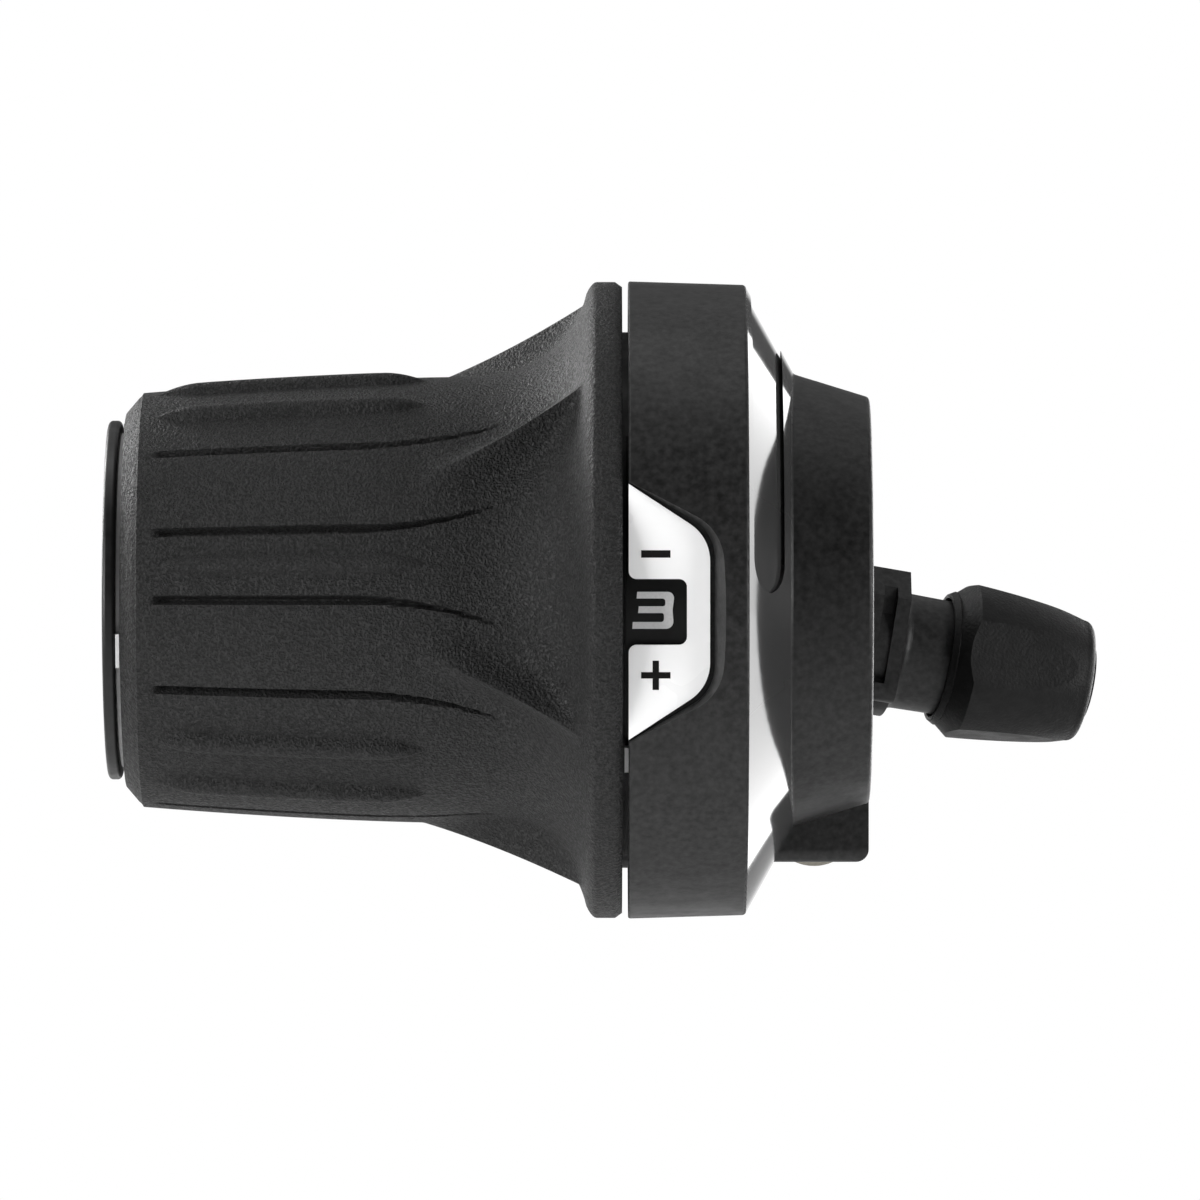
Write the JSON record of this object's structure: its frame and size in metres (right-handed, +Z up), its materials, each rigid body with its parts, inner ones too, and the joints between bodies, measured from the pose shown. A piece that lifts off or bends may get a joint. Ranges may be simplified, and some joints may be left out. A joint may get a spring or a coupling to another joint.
{
  "type": "twist grip shifter",
  "caption": "Left-hand bicycle twist grip shifter: a ribbed rubber grip turns in a round housing with a number window, a split bar clamp and a barrel cable adjuster.",
  "frame": {"origin": "on the handlebar axis, in the plane of the housing's open face, where the grip meets it", "axes": "+X along the handlebar from the grip towards the housing, +Z up, the rider looks along +Y"},
  "size_m": [0.0768, 0.05, 0.049],
  "materials": {
    "housing_body": "black moulded plastic, polished on the cone",
    "bar_sleeve": "black nylon",
    "sleeve_screws": "zinc plated",
    "end_ring": "satin black",
    "outer_thrust_washer": "white nylon",
    "inner_thrust_washer": "white nylon",
    "grip_core": "black nylon",
    "grip_rubber": "matt moulded rubber",
    "cable_drum": "dark acetal",
    "number_band": "black with silver numbers",
    "index_sector": "stamped steel",
    "index_spring": "spring steel",
    "indicator_plate": "white",
    "clamp_bolt": "plated steel",
    "clamp_nut": "plated steel",
    "cable_port_cover": "satin black",
    "cable_port_screw": "zinc plated",
    "cable_liner": "white acetal",
    "adjuster_insert": "plain brass",
    "adjuster_spring": "spring steel",
    "click_ring": "black acetal",
    "adjuster_bolt": "black, threaded",
    "adjuster_knob": "textured dark grey plastic"
  },
  "bodies": {
    "housing": {"housing_body": "housing_body", "bar_sleeve": "bar_sleeve", "sleeve_screws": "sleeve_screws", "end_ring": "end_ring", "outer_thrust_washer": "outer_thrust_washer", "inner_thrust_washer": "inner_thrust_washer", "index_spring": "index_spring", "indicator_plate": "indicator_plate", "clamp_bolt": "clamp_bolt", "clamp_nut": "clamp_nut", "cable_port_cover": "cable_port_cover", "cable_port_screw": "cable_port_screw", "cable_liner": "cable_liner", "adjuster_insert": "adjuster_insert", "adjuster_spring": "adjuster_spring"},
    "grip": {"grip_core": "grip_core", "grip_rubber": "grip_rubber", "cable_drum": "cable_drum", "number_band": "number_band", "index_sector": "index_sector"},
    "adjuster_slider": {"click_ring": "click_ring"},
    "adjuster": {"adjuster_bolt": "adjuster_bolt", "adjuster_knob": "adjuster_knob"}
  },
  "joints": [
    {"name": "grip_twist", "type": "hinge", "parent": "housing", "child": "grip", "pos_m": [0, 0, 0], "axis": [-1, 0, 0], "range_deg": [0, 52], "deforming": ["index_spring"]},
    {"name": "adjuster_advance", "type": "slide", "parent": "housing", "child": "adjuster_slider", "axis": [0.9726, 0.1624, -0.1663], "range_m": [-0.0024, 0.0024], "deforming": ["adjuster_spring"]},
    {"name": "adjuster_turn", "type": "hinge", "parent": "adjuster_slider", "child": "adjuster", "pos_m": [0.02065, 0.018, -0.00384], "axis": [0.9726, 0.1624, -0.1663], "range_deg": [-1080, 1080]}
  ],
  "couplings": [
    {"joint": "adjuster_turn", "follows": "adjuster_advance", "rad_per_m": 7854}
  ]
}
